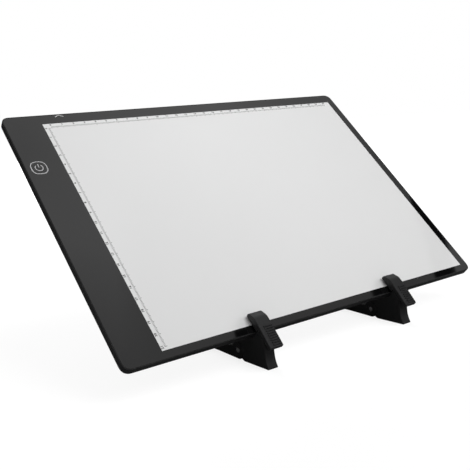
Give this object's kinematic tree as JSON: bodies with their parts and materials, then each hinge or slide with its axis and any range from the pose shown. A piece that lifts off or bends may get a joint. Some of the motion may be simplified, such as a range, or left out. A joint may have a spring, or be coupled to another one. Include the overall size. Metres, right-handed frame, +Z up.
{
  "type": "led tracing pad",
  "caption": "Thin tilted light panel with a touch key, a ruler round its lit area and clip stands that fold, slide along its edge and grip it with ribbed clamps.",
  "frame": {"origin": "bottom centre of the whole part's box, on the table it stands on", "axes": "+X along the panel's long side, to the right for someone who faces the panel; +Y to the back; +Z up. The panel leans back, its face looking up and to the front (-Y)"},
  "size_m": [0.3534, 0.1882, 0.1878],
  "materials": {
    "gloss_panel": "gloss, black border printed behind the clear sheet, white over the lit area",
    "black_plastic": "fine satin texture",
    "stand_plastic": "satin moulded plastic",
    "rubber": "matt",
    "steel": "plain steel",
    "black_tape": "matt film",
    "chip": "matt moulding",
    "circuit_board": "lacquered board",
    "led_board": "white lacquered board",
    "lead": "insulated wire",
    "opal_film": "opal",
    "acrylic": "clear acrylic",
    "white_plastic": "white moulding",
    "white_film": "white reflective film",
    "foam_contact": "conductive foam"
  },
  "bodies": {
    "pad": {"back_cover": "black_plastic", "back_foot_1": "rubber", "back_foot_2": "rubber", "back_foot_3": "rubber", "back_foot_4": "rubber", "board_screw_1": "steel", "board_screw_2": "steel", "bonding_tape": "black_tape", "capacitor_1": "chip", "capacitor_2": "chip", "control_board": "circuit_board", "diffuser_sheet": "opal_film", "driver_chip": "chip", "driver_coil": "chip", "front_panel": "gloss_panel", "led_bar": "led_board", "led_lead_1": "lead", "led_lead_2": "lead", "light_guide": "acrylic", "mid_frame": "white_plastic", "reflector_sheet": "white_film", "touch_electrode": "foam_contact", "usb_socket": "steel"},
    "stand_left": {"stand_left_body": "stand_plastic", "stand_left_arm_pad": "rubber"},
    "stand_right": {"stand_right_body": "stand_plastic", "stand_right_arm_pad": "rubber"},
    "clamp_left": {"clamp_left": "stand_plastic", "clamp_left_grip": "rubber"},
    "clamp_right": {"clamp_right": "stand_plastic", "clamp_right_grip": "rubber"},
    "leg_left": {"leg_left": "stand_plastic", "leg_left_pin": "steel", "leg_left_washer": "steel", "leg_left_foot": "rubber"},
    "leg_right": {"leg_right": "stand_plastic", "leg_right_pin": "steel", "leg_right_washer": "steel", "leg_right_foot": "rubber"}
  },
  "joints": [
    {"name": "stand_left_slide", "type": "slide", "parent": "pad", "child": "stand_left", "axis": [1, 0, 0], "range_m": [-0.08, 0.06]},
    {"name": "stand_right_slide", "type": "slide", "parent": "pad", "child": "stand_right", "axis": [1, 0, 0], "range_m": [-0.06, 0.07]},
    {"name": "clamp_left_slide", "type": "slide", "parent": "stand_left", "child": "clamp_left", "axis": [0, 0.6561, 0.7547], "range_m": [0, 0.0035]},
    {"name": "clamp_right_slide", "type": "slide", "parent": "stand_right", "child": "clamp_right", "axis": [0, 0.6561, 0.7547], "range_m": [0, 0.0035]},
    {"name": "leg_left_fold", "type": "hinge", "parent": "stand_left", "child": "leg_left", "pos_m": [-0.0668, -0.05565, 0.0068], "axis": [1, 0, 0], "range_deg": [0, 52]},
    {"name": "leg_right_fold", "type": "hinge", "parent": "stand_right", "child": "leg_right", "pos_m": [0.0749, -0.05565, 0.0068], "axis": [1, 0, 0], "range_deg": [0, 52]}
  ]
}
